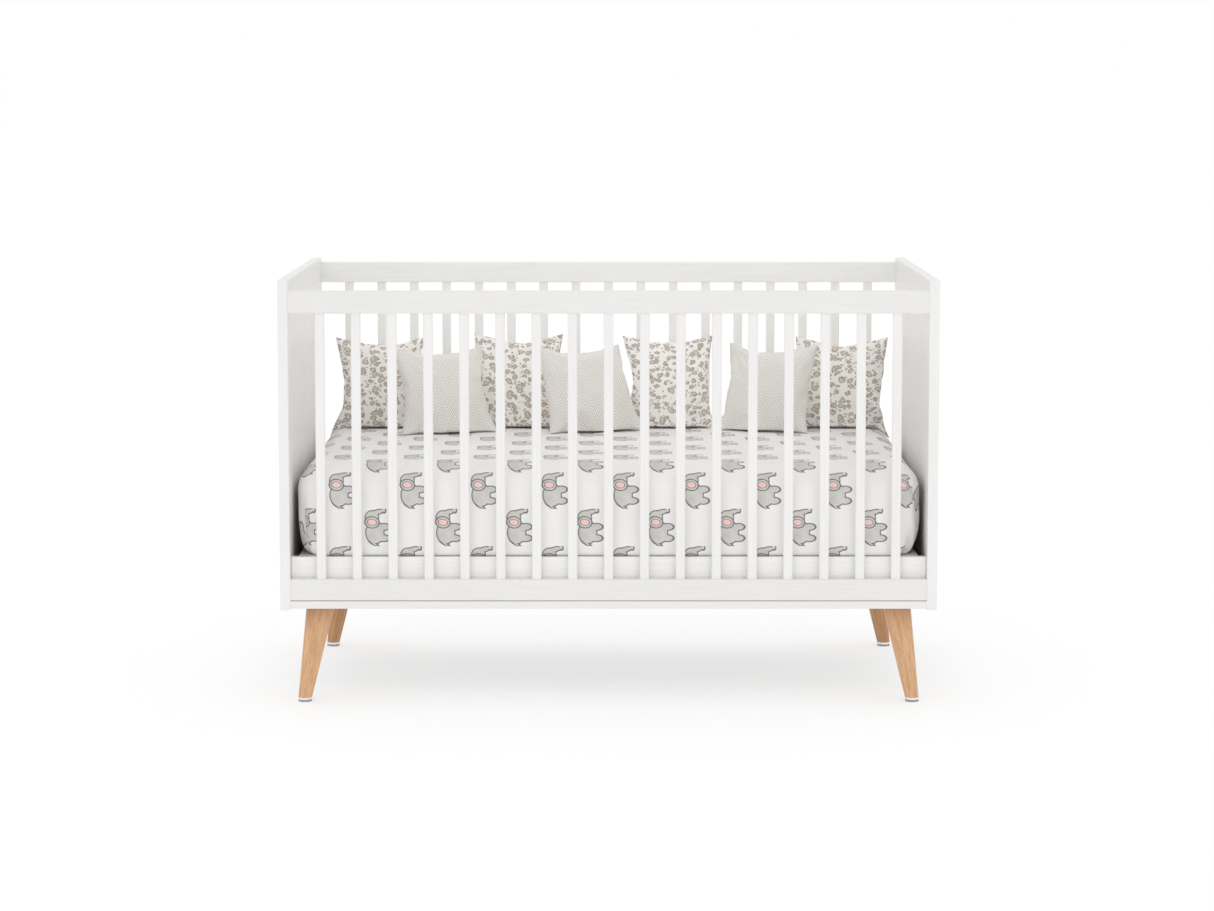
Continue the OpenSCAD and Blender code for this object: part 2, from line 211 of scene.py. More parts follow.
def make_sky():
    """A white studio all round, a touch brighter near the horizon than overhead."""
    world = bpy.data.worlds.new("studio")
    scene.world = world
    n = Nodes(world)
    _, _, up = n.parts(n.add("TexCoord", out="Generated"))
    strength = n.ramp(n.math("ABSOLUTE", up), 0.0, 0.9, HORIZON_LIGHT, ZENITH_LIGHT)
    strength = n.math("MAXIMUM", strength, n.add("LightPath", out="Is Camera Ray"))
    background = n.tree.nodes["Background"]
    n.put(background.inputs["Color"], (1, 1, 1, 1))
    n.put(background.inputs["Strength"], strength)


def soft_lamp(name, place, target, size, power):
    """A large square lamp that looks at the target."""
    lamp = bpy.data.lights.new(name, "AREA")
    lamp.size = size
    lamp.energy = power
    lamp_object = bpy.data.objects.new(name, lamp)
    lamp_object.location = place
    away = Vector(place) - Vector(target)
    lamp_object.rotation_euler = away.to_track_quat("Z", "Y").to_euler()
    scene.collection.objects.link(lamp_object)


def make_lights():
    make_sky()
    soft_lamp("key_lamp", (-2.2, -4.6, 2.6), (0, 0, 0.5), 2.4, 7)
    soft_lamp("fill_lamp", (3.0, -3.8, 1.8), (0, 0, 0.5), 2.4, 3)


# ---- finishes of the frame ----

def white_paint(name, colour, grain):
    """Satin paint: a fine roller texture, faint grain below it and a little tone from place to place.

    grain is how often the fibres change along X, Y and Z, in times a metre."""
    f = Finish(name, IOR=1.45)
    place = f.object_place()
    fibres = f.noise(f.stretch(place, *grain), 1.0, detail=4.0, roughness=0.6)
    cloud = f.noise(place, 3.0, detail=3.0)
    tone = f.math("ADD", f.math("MULTIPLY", fibres, 0.7), f.math("MULTIPLY", cloud, 0.3))
    darker = tuple(0.955 * value for value in colour[:3]) + (1,)
    f.set(Base_Color=f.mix(f.ramp(tone, 0.38, 0.62), colour, darker))
    f.set(Roughness=f.ramp(f.noise(place, 40.0, detail=4.0), 0.3, 0.7, 0.36, 0.46))
    roller = f.noise(place, 900.0, detail=2.0)
    height = f.math("ADD", f.math("MULTIPLY", fibres, 0.6), f.math("MULTIPLY", roller, 0.4))
    f.set(Normal=f.bump(height, 0.06 * MM))
    return f.material


def oiled_wood(name, lean, shade=1.0):
    """Light oiled wood with its grain along a leg, with painted shade that darkens it towards the top, near
    the crib.

    lean is the leg's slope, sideways per metre up; a shade under 1 paints the wood darker and a little
    redder, as painted shade for a leg that stands in shadow."""
    f = Finish(name, IOR=1.45)
    x, y, z = f.parts(f.object_place())
    across = f.math("SUBTRACT", x, f.math("MULTIPLY", z, lean))
    place = f.join(across, y, z)
    bend = f.noise(f.stretch(place, 9, 9, 2.2), 1.0, detail=2.0, out="Color")
    bend = f.vector("SUBTRACT", bend, (0.5, 0.5, 0.5))
    bent = f.vector("ADD", place, f.vector("MULTIPLY", bend, (0.012, 0.012, 0)))
    rings = f.noise(f.stretch(bent, 190, 190, 3.0), 1.0, detail=3.0, roughness=0.6)
    streaks = f.noise(f.stretch(bent, 700, 700, 14), 1.0, detail=4.0, roughness=0.65)
    pores = f.noise(f.stretch(bent, 1500, 1500, 34), 1.0, detail=1.0)
    tones = [(222, 180, 140), (205, 157, 114), (172, 121, 77), (132, 90, 56)]
    # painted shade: a shade under 1 dims every tone, for a leg in shadow
    painted_shade_dim = (shade, shade ** 1.3, shade ** 1.8)
    tones = [[part * share for part, share in zip(tone, painted_shade_dim)] for tone in tones]
    light, middle, dark, deep = [rgb(*tone) for tone in tones]
    colour = f.mix(f.ramp(rings, 0.36, 0.66), light, middle)
    colour = f.mix(f.ramp(streaks, 0.48, 0.75, 0, 0.6), colour, dark)
    pore = f.ramp(pores, 0.66, 0.74, 0, 0.35)
    colour = f.mix(pore, colour, deep)
    # painted shade: the wood turns darker towards the top of the leg, near the crib, standing in for the
    # crib's shadow on it
    colour = f.mix(f.ramp(z, 0.13, 0.215, 0, 0.45), colour, dark)
    f.set(Base_Color=colour, Roughness=f.ramp(streaks, 0.3, 0.8, 0.42, 0.56))
    height = f.math("SUBTRACT", f.math("MULTIPLY", streaks, 0.7), f.math("MULTIPLY", pore, 0.8))
    f.set(Normal=f.bump(height, 0.12 * MM))
    return f.material


def deck_laminate():
    """The grey laminate of the mattress deck, with a faint printed fibre."""
    f = Finish("deck_laminate_finish")
    place = f.object_place()
    fibres = f.noise(f.stretch(place, 14, 420, 420), 1.0, detail=4.0, roughness=0.6)
    flecks = f.noise(place, 700.0, detail=2.0)
    colour = f.mix(f.ramp(fibres, 0.35, 0.7), rgb(216, 208, 202), rgb(202, 194, 188))
    f.set(Base_Color=f.mix(f.ramp(flecks, 0.6, 0.75, 0, 0.4), colour, rgb(204, 198, 198)))
    f.set(Roughness=f.ramp(flecks, 0.3, 0.7, 0.5, 0.62), Normal=f.bump(fibres, 0.04 * MM))
    return f.material


def dowel_wood():
    """Plain beech with short dark rays along X."""
    f = Finish("dowel_wood_finish", roughness=0.6)
    fibres = f.noise(f.stretch(f.object_place(), 60, 900, 900), 1.0, detail=4.0)
    f.set(Base_Color=f.mix(f.ramp(fibres, 0.4, 0.7), rgb(222, 190, 150), rgb(186, 146, 104)))
    f.set(Normal=f.bump(fibres, 0.1 * MM))
    return f.material


def moulded_plastic(name, colour, roughness, texture=0.03):
    """Moulded plastic with a fine spark-eroded grain; texture is its depth in millimetres."""
    f = Finish(name, IOR=1.5)
    place = f.object_place()
    grain = f.noise(place, 1600.0, detail=3.0)
    tone = f.noise(place, 25.0)
    darker = tuple(0.94 * value for value in colour[:3]) + (1,)
    f.set(Base_Color=f.mix(f.ramp(tone, 0.35, 0.7), colour, darker))
    f.set(Roughness=f.ramp(grain, 0.3, 0.7, roughness - 0.05, roughness + 0.05))
    f.set(Normal=f.bump(grain, texture * MM))
    return f.material


def pressed_felt():
    """Grey pressed felt with loose short fibres."""
    f = Finish("felt_finish", roughness=0.95)
    place = f.object_place()
    fibres = f.noise(place, 1300.0, detail=6.0, roughness=0.75)
    clumps = f.noise(place, 260.0, detail=3.0)
    shade = f.math("ADD", f.math("MULTIPLY", fibres, 0.6), f.math("MULTIPLY", clumps, 0.4))
    f.set(Base_Color=f.mix(f.ramp(shade, 0.35, 0.65), rgb(118, 115, 112), rgb(176, 173, 169)))
    f.set(Normal=f.bump(shade, 0.5 * MM), Sheen_Weight=0.3)
    return f.material


def metal(name, colour, roughness, streak=(900, 60, 900)):
    """Plated or turned metal: fine streaks, cloudy roughness and a few dull spots."""
    f = Finish(name, Metallic=1.0)
    place = f.object_place()
    streaks = f.noise(f.stretch(place, *streak), 1.0, detail=3.0)
    clouds = f.noise(place, 90.0, detail=4.0)
    duller = tuple(0.8 * value for value in colour[:3]) + (1,)
    f.set(Base_Color=f.mix(f.ramp(clouds, 0.4, 0.75), colour, duller))
    worn = f.math("ADD", f.math("MULTIPLY", streaks, 0.5), f.math("MULTIPLY", clouds, 0.5))
    f.set(Roughness=f.ramp(worn, 0.3, 0.7, roughness - 0.08, roughness + 0.1))
    f.set(Normal=f.bump(streaks, 0.02 * MM))
    return f.material


def powder_coat():
    """Dark grey powder coat on the leg plates."""
    f = Finish("plate_steel_finish", Metallic=0.6)
    grain = f.noise(f.object_place(), 1100.0, detail=3.0)
    f.set(Base_Color=f.mix(f.ramp(grain, 0.35, 0.7), rgb(132, 132, 134), rgb(104, 104, 107)))
    f.set(Roughness=f.ramp(grain, 0.3, 0.7, 0.4, 0.55), Normal=f.bump(grain, 0.08 * MM))
    return f.material


# ---- fabrics ----

def thread_weave(f, place, pitch):
    """The height of a plain weave, 0 to 1, with that distance between threads."""
    across, along, _ = f.parts(f.stretch(place, math.tau / pitch, math.tau / pitch, 0))
    warp = f.math("SINE", across)
    weft = f.math("SINE", along)
    return f.math("ADD", f.math("MULTIPLY", f.math("MULTIPLY", warp, weft), 0.5), 0.5)


def disc(f, place, centre, radii, turn=0.0):
    """A rough distance from an ellipse's edge, in metres, negative inside; turn is in degrees."""
    local = f.vector("SUBTRACT", place, (centre[0] * MM, centre[1] * MM, 0))
    if turn:
        named = {"Vector": local, "Angle": math.radians(-turn)}
        local = f.add("VectorRotate", named=named, rotation_type="Z_AXIS")
    scaled = f.stretch(local, 1000 / radii[0], 1000 / radii[1], 0)
    reach = f.math("SUBTRACT", f.length(scaled), 1.0)
    return f.math("MULTIPLY", reach, min(radii) * MM)


def joined(f, shapes):
    """The distance from the edge of several shapes that run softly into one."""
    total = shapes[0]
    for shape in shapes[1:]:
        total = f.math("SMOOTH_MIN", total, shape, 2.5 * MM)
    return total


PRINT_PITCH = 148.5 * MM        # from one motif to the next in a row
PRINT_ROWS = 79 * MM            # from one row to the next
PRINT_LINE = 0.9 * MM           # half the width of an outline
PRINT_START = (34 * MM, -60 * MM)       # of one motif on the cloth, from its middle
PRINT_SCALE = 1.2               # of each motif

# A side view of an elephant that looks along +x, as ellipses in millimetres: centre, radii and turn in
# degrees of the rump, head, hind leg, foreleg, trunk, its tip, and tail, then the ear and its lining.
MOTIF = [
    ((-9, 3), (20, 16)),
    ((17, 8), (12.5, 12)),
    ((-19, -13), (6, 10.5)),
    ((1, -13), (6, 10.5)),
    ((27, -2), (4.4, 11), 14),
    ((31, -12.5), (5.2, 3.4), 20),
    ((-30, 3), (2, 8), -28),
    ((9, 8), (10, 12.5), -8),
    ((9, 8), (5.4, 8.2), -8),
]


def printed_sheet():
    """White cotton with rows of small grey elephants that walk across the cloth.

    Every second row is set over by half a pitch."""
    f = Finish("sheet_print_finish", roughness=0.85, Sheen_Weight=0.15)
    place = f.cloth_place()
    u, v, _ = f.parts(place)
    u = f.math("SUBTRACT", u, PRINT_START[0])
    v = f.math("SUBTRACT", v, PRINT_START[1])
    row = f.math("ROUND", f.math("DIVIDE", v, PRINT_ROWS))
    v = f.math("SUBTRACT", v, f.math("MULTIPLY", row, PRINT_ROWS))
    odd = f.math("PINGPONG", row, 1.0)
    u = f.math("ADD", u, f.math("MULTIPLY", odd, PRINT_PITCH / 2))
    u = f.math("WRAP", u, PRINT_PITCH / 2, -PRINT_PITCH / 2)
    motif = f.stretch(f.join(v, f.math("MULTIPLY", u, -1.0)), 1 / PRINT_SCALE, 1 / PRINT_SCALE, 0)

    shapes = [disc(f, motif, *shape) for shape in MOTIF]
    body, ear, lining = joined(f, shapes[:-2]), shapes[-2], shapes[-1]

    def inside(shape):
        return f.ramp(shape, -0.35 * MM, 0.35 * MM, 1.0, 0.0)

    def edge(shape, width=PRINT_LINE):
        return f.ramp(f.math("ABSOLUTE", shape), width - 0.3 * MM, width + 0.4 * MM, 1.0, 0.0)

    ink = rgb(122, 118, 117)
    wash = f.ramp(f.noise(motif, 60.0, detail=3.0), 0.3, 0.7)
    grey = f.mix(wash, rgb(216, 214, 211), rgb(205, 203, 200))
    ground = f.mix(f.ramp(f.noise(place, 5.0), 0.3, 0.7), rgb(246, 245, 244), rgb(241, 240, 239))
    colour = f.mix(inside(body), ground, grey)
    colour = f.mix(edge(body), colour, ink)
    colour = f.mix(inside(ear), colour, grey)
    colour = f.mix(inside(lining), colour, rgb(247, 208, 203))
    colour = f.mix(f.math("MAXIMUM", edge(ear), edge(lining, PRINT_LINE / 2)), colour, ink)
    f.set(Base_Color=colour)
    weave = thread_weave(f, place, 0.7 * MM)
    slub = f.noise(f.stretch(place, 300, 2600, 1), 1.0, detail=3.0)
    height = f.math("ADD", f.math("MULTIPLY", weave, 0.6), f.math("MULTIPLY", slub, 0.4))
    f.set(Normal=f.bump(height, 0.10 * MM))
    return f.material


def ticking():
    """Cream mattress ticking with thin grey stripes."""
    f = Finish("ticking_finish", roughness=0.9, Sheen_Weight=0.1)
    place = f.cloth_place()
    u, _, _ = f.parts(place)
    wide = f.math("ABSOLUTE", f.math("WRAP", u, 12 * MM, -12 * MM))
    stripe = f.ramp(wide, 1.4 * MM, 1.8 * MM, 1.0, 0.0)
    colour = f.mix(f.math("MULTIPLY", stripe, 0.6), rgb(240, 237, 230), rgb(176, 178, 182))
    tone = f.ramp(f.noise(place, 12.0, detail=3.0), 0.35, 0.7, 0.0, 0.25)
    f.set(Base_Color=f.mix(tone, colour, rgb(222, 217, 208)))
    f.set(Normal=f.bump(thread_weave(f, place, 0.9 * MM), 0.15 * MM))
    return f.material


SEAM_INSET = 3.2 * MM


def seam_height(f, place, half_width, half_height):
    """0 on the stitched line just inside a cushion's edge, 1 away from it."""
    u, v, _ = f.parts(place)
    in_u = f.math("SUBTRACT", half_width, f.math("ABSOLUTE", u))
    in_v = f.math("SUBTRACT", half_height, f.math("ABSOLUTE", v))
    depth = f.math("MINIMUM", in_u, in_v)
    off = f.math("ABSOLUTE", f.math("SUBTRACT", depth, SEAM_INSET))
    return f.ramp(off, 0.2 * MM, 1.6 * MM)


def spotted_fabric(index, half_width, half_height):
    """Off-white cotton printed with loose taupe spots, some of them paler in the middle."""
    f = Finish(f"spotted_fabric_{index}", roughness=0.88, Sheen_Weight=0.12)
    place = f.cloth_place()
    shifted = f.vector("ADD", place, (0.37 * index, 0.21 * index, 0))
    wobble = f.vector("SUBTRACT", f.noise(shifted, 62.0, detail=3.0, out="Color"), (0.5, 0.5, 0.5))
    warped = f.vector("ADD", shifted, f.vector("MULTIPLY", wobble, (0.019, 0.019, 0)))

    def spots(pitch, smallest, largest, jitter):
        """Cells of about that pitch: their distance from the cell's centre, its spot's size, and a chance."""
        named = {"Vector": f.stretch(warped, 0.78, 1.16, 0), "Scale": 1 / pitch, "Randomness": jitter}
        cells = f.add("TexVoronoi", named=named, voronoi_dimensions="2D").node
        chance, _, _ = f.parts(cells.outputs["Color"])
        return cells.outputs["Distance"], f.ramp(chance, 0.0, 1.0, smallest, largest, smooth=False), chance

    reach, size, chance = spots(16.5 * MM, 0.26, 0.4, 0.8)
    past = f.math("SUBTRACT", reach, size)
    spot = f.ramp(past, -0.03, 0.03, 1.0, 0.0)
    hollow = f.ramp(f.math("SUBTRACT", reach, f.math("MULTIPLY", size, 0.45)), -0.05, 0.06, 1.0, 0.0)
    pale = f.math("MULTIPLY", hollow, f.ramp(chance, 0.5, 0.65, 0.0, 0.75))
    rim = f.ramp(f.math("ABSOLUTE", f.math("ADD", past, 0.04)), 0.015, 0.07, 0.75, 0.0)
    small_reach, small_size, small_chance = spots(8.5 * MM, 0.16, 0.34, 0.9)
    small = f.ramp(f.math("SUBTRACT", small_reach, small_size), -0.05, 0.05, 0.85, 0.0)
    small = f.math("MULTIPLY", small, f.ramp(small_chance, 0.44, 0.5, 0.0, 1.0))
    small = f.math("MULTIPLY", small, f.ramp(past, 0.08, 0.16, 0.0, 1.0))
    ground = rgb(252, 249, 245)
    wash = f.ramp(f.noise(shifted, 90.0, detail=3.0), 0.3, 0.7)
    taupe = f.mix(wash, rgb(208, 198, 187), rgb(192, 181, 170))
    taupe = f.mix(rim, taupe, rgb(146, 133, 122))
    taupe = f.mix(pale, taupe, rgb(228, 218, 204))
    colour = f.mix(small, ground, rgb(184, 172, 161))
    f.set(Base_Color=f.mix(spot, colour, taupe))
    weave = thread_weave(f, place, 1.0 * MM)
    seam = seam_height(f, place, half_width, half_height)
    height = f.math("ADD", f.math("MULTIPLY", weave, 0.15), seam)
    f.set(Normal=f.bump(height, 0.7 * MM))
    return f.material


WEAVE_TURN = 17 * MM            # how far a diagonal runs before it turns back
WEAVE_RIB = 6.0 * MM            # from one diagonal to the next
WEAVE_DASH = 3.0 * MM           # from one dot to the next along it


def woven_fabric(index, half_width, half_height):
    """Natural cotton in a herringbone weave: dotted diagonals that turn back all across."""
    f = Finish(f"woven_fabric_{index}", roughness=0.92, Sheen_Weight=0.15)
    place = f.cloth_place()
    u, v, _ = f.parts(place)
    zigzag = f.math("PINGPONG", f.math("ADD", u, 0.5), WEAVE_TURN)
    across = f.math("ADD", v, zigzag)
    rib = f.math("SINE", f.math("MULTIPLY", across, math.tau / WEAVE_RIB))
    dash = f.math("SINE", f.math("MULTIPLY", u, math.tau / WEAVE_DASH))
    rib = f.math("ADD", f.math("MULTIPLY", rib, 0.5), 0.5)
    dots = f.math("MULTIPLY", rib, f.math("ADD", f.math("MULTIPLY", dash, 0.45), 0.55))
    fuzz = f.noise(place, 1400.0, detail=3.0)
    tone = f.ramp(f.noise(place, 18.0, detail=3.0), 0.3, 0.7)
    ground = f.mix(tone, rgb(213, 208, 199), rgb(205, 199, 189))
    colour = f.mix(f.ramp(dots, 0.05, 0.3), ground, rgb(255, 254, 252))
    f.set(Base_Color=f.mix(f.ramp(fuzz, 0.6, 0.8, 0, 0.3), colour, rgb(222, 217, 208)))
    seam = seam_height(f, place, half_width, half_height)
    height = f.math("ADD", f.math("MULTIPLY", dots, 0.35), f.math("MULTIPLY", seam, 0.8))
    f.set(Normal=f.bump(height, 0.8 * MM))
    return f.material


# ---- the frame's nodes ----

LEG_SLOPE = math.tan(math.radians(9.9))


def dress(material, *names):
    """Gives CAD nodes one material."""
    for name in names:
        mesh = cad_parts[name].data
        mesh.materials.clear()
        mesh.materials.append(material)


def dress_frame():
    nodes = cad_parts
    upright, along, deep = (420.0, 420.0, 9.0), (9.0, 420.0, 420.0), (300.0, 10.0, 300.0)
    slats = [name for name in nodes if name.startswith("front_slat_")]
    rails = [name for name in nodes if name.endswith("_rail")]
    # painted light: the back top rail, the aprons and the back slats take a brighter copy of the white paint,
    # standing in for light that their shade takes away
    panel_white, painted_light_white = rgb(241, 240, 238), rgb(248, 247, 245)
    dress(white_paint("panel_paint_finish", panel_white, deep), "left_end_panel", "right_end_panel")
    dress(white_paint("rail_paint_finish", rgb(236, 235, 233), along), *rails)
    dress(white_paint("inner_rail_painted_light_finish", painted_light_white, along), "back_top_rail", "front_apron", "back_apron")
    dress(white_paint("slat_paint_finish", rgb(242, 241, 240), upright), *slats)
    dress(white_paint("inner_slat_painted_light_finish", painted_light_white, upright), "back_slats")
    dress(white_paint("board_paint_finish", rgb(238, 237, 236), along), "base_board")
    dress(oiled_wood("leg_wood_left", LEG_SLOPE), "front_left_leg")
    dress(oiled_wood("leg_wood_right", -LEG_SLOPE), "front_right_leg")
    # painted shade: the back legs take a darker copy of the wood, for the shadow under the crib
    dress(oiled_wood("leg_wood_back_left_painted_shade", LEG_SLOPE, 0.85), "back_left_leg")
    dress(oiled_wood("leg_wood_back_right_painted_shade", -LEG_SLOPE, 0.85), "back_right_leg")
    dress(deck_laminate(), "mattress_deck")
    dress(dowel_wood(), "dowels")
    dress(moulded_plastic("glide_plastic_finish", rgb(238, 238, 236), 0.4), "leg_glides")
    dress(moulded_plastic("cap_plastic_finish", rgb(229, 228, 226), 0.42), "bolt_caps")
    dress(pressed_felt(), "felt_pads")
    dress(powder_coat(), "leg_plates")
    zinc = metal("zinc_finish", rgb(200, 201, 203), 0.34)
    dress(zinc, "hanger_bolts", "plate_screws", "frame_bolts", "barrel_nuts", "level_bolts")
    dress(zinc, "support_brackets", "bracket_screws")
    dress(metal("insert_brass_finish", rgb(216, 178, 110), 0.32, (60, 900, 900)), "level_inserts")


# ---- mattress and sheet ----

def smooth_step(value, low, high):
    """0 below low, 1 above high, and a smooth rise between."""
    share = min(max((value - low) / (high - low), 0.0), 1.0)
    return share * share * (3 - 2 * share)


def stops(half, radius, step, fine):
    """Grid lines from -half to half: fine of them across each round edge, and about one a step between."""
    core = half - radius
    count = max(2, round(2 * core / step))
    inner = [-core + 2 * core * i / count for i in range(count + 1)]
    edge = [core + radius * i / fine for i in range(1, fine + 1)]
    return [-x for x in reversed(edge)] + inner + edge


BLOCK_STEP = 12 * MM            # between the grid lines of a block's top
BLOCK_RISE = 9 * MM             # between those of its sides, going up
BLOCK_ROUND = 7                 # grid squares across each round edge


class Block:
    """A soft block on the grid of a box, with round upper edges and corners and a tucked lower edge.

    half is half its length and width where it is widest, low and top its heights, radius that of its
    upper edges and corners. tuck is how far its lower edge goes in at the ends and at the sides, and
    tuck_height the height over which it does."""

    def __init__(self, half, low, top, radius, tuck, tuck_height):
        self.half, self.low, self.top, self.radius = half, low, top, radius
        self.tuck, self.tuck_height = tuck, tuck_height
        self.xs, self.ys = [stops(reach, radius, BLOCK_STEP, BLOCK_ROUND) for reach in half]
        core_top = top - radius
        count = round((core_top - low) / BLOCK_RISE)
        self.zs = [low + (core_top - low) * i / count for i in range(count + 1)]
        self.zs += [core_top + radius * i / BLOCK_ROUND for i in range(1, BLOCK_ROUND + 1)]
        self.bm = bmesh.new()
        self.uv = self.bm.loops.layers.uv.new("cloth")
        self.points = {}

    def inset(self, z, axis):
        """How far the end or side stands in at height z: a quarter ellipse at the foot, nothing above."""
        share = min(max((z - self.low) / self.tuck_height[axis], 0.0), 1.0)
        return self.tuck[axis] * (1 - math.sqrt(1 - (1 - share) ** 2))

    def place(self, x, y, z):
        """Where a point of the box's surface goes on the soft block, and the way out there."""
        core = Vector((
            min(max(x, self.radius - self.half[0]), self.half[0] - self.radius),
            min(max(y, self.radius - self.half[1]), self.half[1] - self.radius),
            min(z, self.top - self.radius),
        ))
        out = Vector((x, y, z)) - core
        if out.length < 1e-9:
            return core, Vector((0, 0, -1))
        out *= max(abs(part) for part in out) / out.length
        point = core + out
        point.x -= out.x * self.inset(z, 0) / self.radius
        point.y -= out.y * self.inset(z, 1) / self.radius
        return point, out.normalized()

    def vertex(self, i, j, k, shape):
        key = (i, j, k)
        if key not in self.points:
            x, y, z = self.xs[i], self.ys[j], self.zs[k]
            point, out = self.place(x, y, z)
            self.points[key] = self.bm.verts.new(point + out * shape(point, out))
        return self.points[key]

    def unrolled(self, x, y, z, side):
        """The point on the flat cloth: each side is turned up level with the top."""
        radius = self.radius

        def over(value, half):
            """Distance along the cloth from the middle, over the start of a round edge."""
            core = half - radius
            beyond = radius * math.atan(max(abs(value) - core, 0) / radius)
            return math.copysign(min(abs(value), core) + beyond, value)

        u, v = over(x, self.half[0]), over(y, self.half[1])
        if side == "top":
            return u, v
        core_top = self.top - radius
        down = radius * (math.pi / 2 - math.atan(max(z - core_top, 0) / radius)) + max(core_top - z, 0)
        if side in ("front", "back"):
            under = self.half[1] - abs(y)
            far = self.half[1] - radius + down + under
            return u, math.copysign(far, -1 if side == "front" else 1)
        under = self.half[0] - abs(x)
        far = self.half[0] - radius + down + under
        return math.copysign(far, -1 if side == "left" else 1), v

    def quad(self, corners, side, shape):
        face = self.bm.faces.new([self.vertex(*corner, shape) for corner in corners])
        face.smooth = True
        for loop, (i, j, k) in zip(face.loops, corners):
            loop[self.uv].uv = self.unrolled(self.xs[i], self.ys[j], self.zs[k], side)

    def wall(self, start, end, k, side, shape):
        """One square of a side, from start to end along the grid and one step up from k."""
        self.quad([(*start, k), (*end, k), (*end, k + 1), (*start, k + 1)], side, shape)

    def build(self, shape, reach):
        """Makes the top, the four sides, and the underside as far in as reach.

        shape(point, out) says how far each point moves outwards."""
        last_x, last_y, last_z = len(self.xs) - 1, len(self.ys) - 1, len(self.zs) - 1
        for i in range(last_x):
            for j in range(last_y):
                around = [(i, j), (i + 1, j), (i + 1, j + 1), (i, j + 1)]
                self.quad([(a, b, last_z) for a, b in around], "top", shape)
                in_x = self.half[0] - min(abs(self.xs[i]), abs(self.xs[i + 1]))
                in_y = self.half[1] - min(abs(self.ys[j]), abs(self.ys[j + 1]))
                if min(in_x, in_y) <= reach:
                    if in_y <= in_x:
                        side = "front" if self.ys[j] < 0 else "back"
                    else:
                        side = "left" if self.xs[i] < 0 else "right"
                    self.quad([(a, b, 0) for a, b in reversed(around)], side, shape)
        for k in range(last_z):
            for i in range(last_x):
                self.wall((i, 0), (i + 1, 0), k, "front", shape)
                self.wall((i + 1, last_y), (i, last_y), k, "back", shape)
            for j in range(last_y):
                self.wall((0, j + 1), (0, j), k, "left", shape)
                self.wall((last_x, j), (last_x, j + 1), k, "right", shape)

    def finish(self, name, material):
        mesh = bpy.data.meshes.new(name)
        self.bm.to_mesh(mesh)
        self.bm.free()
        mesh.materials.append(material)
        block = bpy.data.objects.new(name, mesh)
        scene.collection.objects.link(block)
        return block


MATTRESS_BULGE = (3.6 * MM, 1.4 * MM)   # how far the mattress stands out past its CAD solid, along X and Y
MATTRESS_RADIUS = 58 * MM       # of its upper edges
QUILT_PITCH = 0.16              # from one stitched line to the next, along X
QUILT_DEPTH = 4 * MM


def make_mattress():
    """The mattress: striped ticking, quilted in diamonds below."""
    low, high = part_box("mattress")
    half = (high.x + MATTRESS_BULGE[0], high.y + MATTRESS_BULGE[1])
    tuck, tuck_height = (25 * MM, 7 * MM), (84 * MM, 26 * MM)
    block = Block(half, low.z, high.z - 1.2 * MM, MATTRESS_RADIUS, tuck, tuck_height)

    def shape(point, out):
        if out.z > -0.5:
            return 0.0
        lines = [abs(math.sin(math.pi * (point.x + side * point.y) / QUILT_PITCH)) for side in (-1, 1)]
        return -QUILT_DEPTH * (1 - smooth_step(min(lines), 0.0, 0.35))
    block.build(shape, 1.0)
    mattress = block.finish("mattress_block", ticking())
    mattress.modifiers.new("round", "SUBSURF").render_levels = 1
    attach(mattress, "bed")
    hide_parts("mattress")


SHEET_BULGE = (5.6 * MM, 3.2 * MM)      # how far the sheet stands out past its CAD solid, along X and Y
SHEET_RADIUS = 60 * MM          # of its upper edges
SHEET_RETURN = 70 * MM          # how far it goes in below the mattress
WAVE_DEPTH = 0.9 * MM           # of its slow waves all over
RIPPLE_DEPTH = 0.5 * MM         # of its finer ones
FOLD_DEPTH = 3.0 * MM           # of the folds round its lower corners
FOLDS = 15                      # how closely they stand: radians of a wave to one of the corner's turn
FOLD_CORNER = 0.06              # how far from the ends and sides the folds start


def make_sheet():
    """The fitted sheet: taut on top, gathered round the lower corners, and returned under the mattress."""
    low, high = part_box("fitted_sheet")
    half = (high.x + SHEET_BULGE[0], high.y + SHEET_BULGE[1])
    tuck, tuck_height = (25 * MM, 6 * MM), (86 * MM, 24 * MM)
    block = Block(half, low.z, high.z, SHEET_RADIUS, tuck, tuck_height)

    def shape(point, out):
        """Soft waves all over, and folds that fan out from the elastic round each lower corner."""
        waves = noise.noise(Vector((point.x * 6, point.y * 6, point.z * 9))) * WAVE_DEPTH
        if out.z < -0.5:
            return waves * 0.2
        fine = noise.noise(Vector((point.x * 17, point.y * 17 + 4, point.z * 11))) * RIPPLE_DEPTH
        corner = Vector([abs(point[axis]) - half[axis] + FOLD_CORNER for axis in (0, 1)])
        if min(corner) < -FOLD_CORNER or out.z > 0.6:
            return waves * (0.5 if out.z > 0.6 else 1.0) + fine
        turn = math.atan2(corner.y + 0.02, corner.x + 0.02)
        drop = 1 - smooth_step(point.z, low.z + 0.02, low.z + 0.15)
        fade = smooth_step(turn, -0.35, 0.2) * (1 - smooth_step(turn, 1.35, 1.9))
        seed = 3.0 * (point.x > 0) + 5.0 * (point.y > 0)
        stray = 3 * noise.noise(Vector((turn * 2 + seed, point.z * 14, 0)))
        fold = math.sin(turn * FOLDS + seed + stray)
        return waves + fine + (fold - 0.5) * FOLD_DEPTH * drop * fade
    block.build(shape, SHEET_RETURN)
    sheet = block.finish("fitted_sheet_cotton", printed_sheet())
    sheet.modifiers.new("round", "SUBSURF").render_levels = 1
    cloth = sheet.modifiers.new("thickness", "SOLIDIFY")
    cloth.thickness = 0.7 * MM
    cloth.offset = -1
    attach(sheet, "bed")
    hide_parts("fitted_sheet")


# ---- cushions ----

